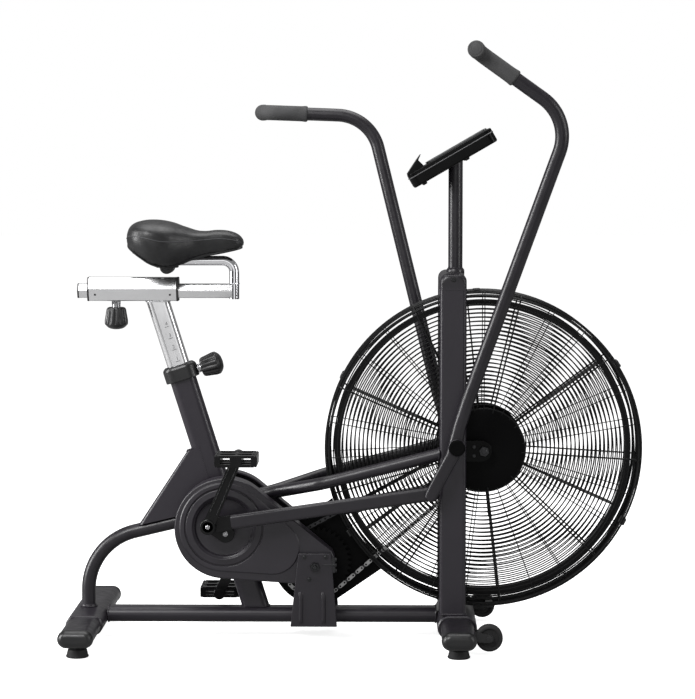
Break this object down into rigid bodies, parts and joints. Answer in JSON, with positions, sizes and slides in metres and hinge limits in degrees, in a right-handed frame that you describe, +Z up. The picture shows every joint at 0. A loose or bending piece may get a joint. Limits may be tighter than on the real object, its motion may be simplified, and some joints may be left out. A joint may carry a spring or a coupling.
{
  "type": "air bike",
  "caption": "Stationary exercise bike with a caged front fan, chain drive, push-pull handles linked to the cranks, adjustable saddle and small console.",
  "frame": {"origin": "on the floor, under the middle of the bounding box", "axes": "+X forward towards the fan, +Y to the rider's left, +Z up"},
  "size_m": [1.284, 0.584, 1.3287],
  "materials": {
    "frame_paint": "satin powder coat",
    "wire_paint": "semi-gloss coat",
    "black_plastic": "moulded, fine texture",
    "rubber": "matte",
    "brushed_steel": "brushed",
    "chrome": "polished",
    "dark_metal": "blackened",
    "crank_paint": "gloss black",
    "vinyl": "matte grained cover",
    "screen": "gloss window"
  },
  "bodies": {
    "frame": {"base_tube": "frame_paint", "rear_stabilizer": "frame_paint", "front_stabilizer": "frame_paint", "end_cap_rear_right": "black_plastic", "end_cap_rear_left": "black_plastic", "end_cap_front_right": "black_plastic", "end_cap_front_left": "black_plastic", "foot_rear_right": "rubber", "foot_rear_left": "rubber", "foot_front_right": "rubber", "foot_front_left": "rubber", "rear_arch": "frame_paint", "seat_tube": "frame_paint", "side_tube_right": "frame_paint", "side_tube_left": "frame_paint", "upright_right": "frame_paint", "upright_left": "frame_paint", "upright_bridge": "frame_paint", "console_mast": "frame_paint", "console_housing": "black_plastic", "console_screen": "screen", "jack_bracket_right": "frame_paint", "jack_bracket_left": "frame_paint", "chain_cover_right": "black_plastic", "chain_cover_left": "black_plastic", "chain_guard": "black_plastic", "fan_guard_right": "wire_paint", "fan_guard_left": "wire_paint", "fan_axle": "dark_metal", "crank_bearing": "brushed_steel", "handle_axle_right": "black_plastic", "handle_axle_left": "black_plastic", "seat_collar": "black_plastic", "primary_chain": "dark_metal", "secondary_chain": "dark_metal"},
    "crank": {"crank_axle": "dark_metal", "chainring": "dark_metal", "inner_crank_right": "dark_metal", "inner_crank_left": "dark_metal", "crank_arm_right": "crank_paint", "crank_arm_left": "crank_paint"},
    "pedal_right": {"pedal_right": "black_plastic"},
    "pedal_left": {"pedal_left": "black_plastic"},
    "link_right": {"link_rod_right": "frame_paint"},
    "link_left": {"link_rod_left": "frame_paint"},
    "handle_right": {"handle_right": "frame_paint", "grip_right": "rubber"},
    "handle_left": {"handle_left": "frame_paint", "grip_left": "rubber"},
    "jackshaft": {"jackshaft": "dark_metal"},
    "fan": {"fan_wheel": "dark_metal"},
    "seat_post": {"seat_post": "brushed_steel", "slide_outer": "brushed_steel"},
    "saddle": {"saddle_slide": "chrome", "saddle_clamp": "dark_metal", "saddle": "vinyl"},
    "post_knob": {"post_knob": "black_plastic"},
    "slide_knob": {"slide_knob": "black_plastic"},
    "wheel_right": {"wheel_right": "rubber"},
    "wheel_left": {"wheel_left": "rubber"}
  },
  "joints": [
    {"name": "crank_turn", "type": "hinge", "parent": "frame", "child": "crank", "pos_m": [-0.286, 0, 0.25], "axis": [0, 1, 0], "range_deg": [0, 180]},
    {"name": "handle_right_swing", "type": "hinge", "parent": "frame", "child": "handle_right", "pos_m": [0.225, -0.151, 0.449], "axis": [0, 1, 0], "range_deg": [-33.35, 0]},
    {"name": "handle_left_swing", "type": "hinge", "parent": "frame", "child": "handle_left", "pos_m": [0.225, 0.151, 0.449], "axis": [0, 1, 0], "range_deg": [0, 33.35]},
    {"name": "link_right_turn", "type": "hinge", "parent": "crank", "child": "link_right", "pos_m": [-0.32237, -0.124, 0.271], "axis": [0, 1, 0], "range_deg": [-183.42, 0]},
    {"name": "link_left_turn", "type": "hinge", "parent": "crank", "child": "link_left", "pos_m": [-0.24963, 0.124, 0.229], "axis": [0, 1, 0], "range_deg": [-176.6, 0]},
    {"name": "pedal_right_spin", "type": "hinge", "parent": "crank", "child": "pedal_right", "pos_m": [-0.2544, -0.2075, 0.42923], "axis": [0, 1, 0], "continuous": true},
    {"name": "pedal_left_spin", "type": "hinge", "parent": "crank", "child": "pedal_left", "pos_m": [-0.3176, 0.2075, 0.07076], "axis": [0, 1, 0], "continuous": true},
    {"name": "jackshaft_spin", "type": "hinge", "parent": "frame", "child": "jackshaft", "pos_m": [-0.088, 0, 0.174], "axis": [0, 1, 0], "continuous": true},
    {"name": "fan_spin", "type": "hinge", "parent": "frame", "child": "fan", "pos_m": [0.287, 0, 0.433], "axis": [0, 1, 0], "continuous": true},
    {"name": "seat_height", "type": "slide", "parent": "frame", "child": "seat_post", "axis": [-0.3007, 0, 0.9537], "range_m": [-0.11, 0.07]},
    {"name": "saddle_reach", "type": "slide", "parent": "seat_post", "child": "saddle", "axis": [1, 0, 0], "range_m": [-0.08, 0.04]},
    {"name": "post_knob_pull", "type": "slide", "parent": "frame", "child": "post_knob", "axis": [0.9537, 0, 0.3007], "range_m": [0, 0.01], "stiffness_N_per_m": 800},
    {"name": "slide_knob_pull", "type": "slide", "parent": "seat_post", "child": "slide_knob", "axis": [0, 0, -1], "range_m": [0, 0.01], "stiffness_N_per_m": 800},
    {"name": "wheel_right_spin", "type": "hinge", "parent": "frame", "child": "wheel_right", "pos_m": [0.2955, -0.2, 0.037], "axis": [0, 1, 0], "continuous": true},
    {"name": "wheel_left_spin", "type": "hinge", "parent": "frame", "child": "wheel_left", "pos_m": [0.2955, 0.2, 0.037], "axis": [0, 1, 0], "continuous": true}
  ],
  "couplings": [
    {"joint": "handle_right_swing", "follows": "crank_turn", "ratio": -0.18522},
    {"joint": "handle_left_swing", "follows": "crank_turn", "ratio": 0.18522},
    {"joint": "link_right_turn", "follows": "crank_turn", "ratio": -1.0189},
    {"joint": "link_left_turn", "follows": "crank_turn", "ratio": -0.98108},
    {"joint": "jackshaft_spin", "follows": "crank_turn", "ratio": 3},
    {"joint": "fan_spin", "follows": "crank_turn", "ratio": 8.1429}
  ]
}
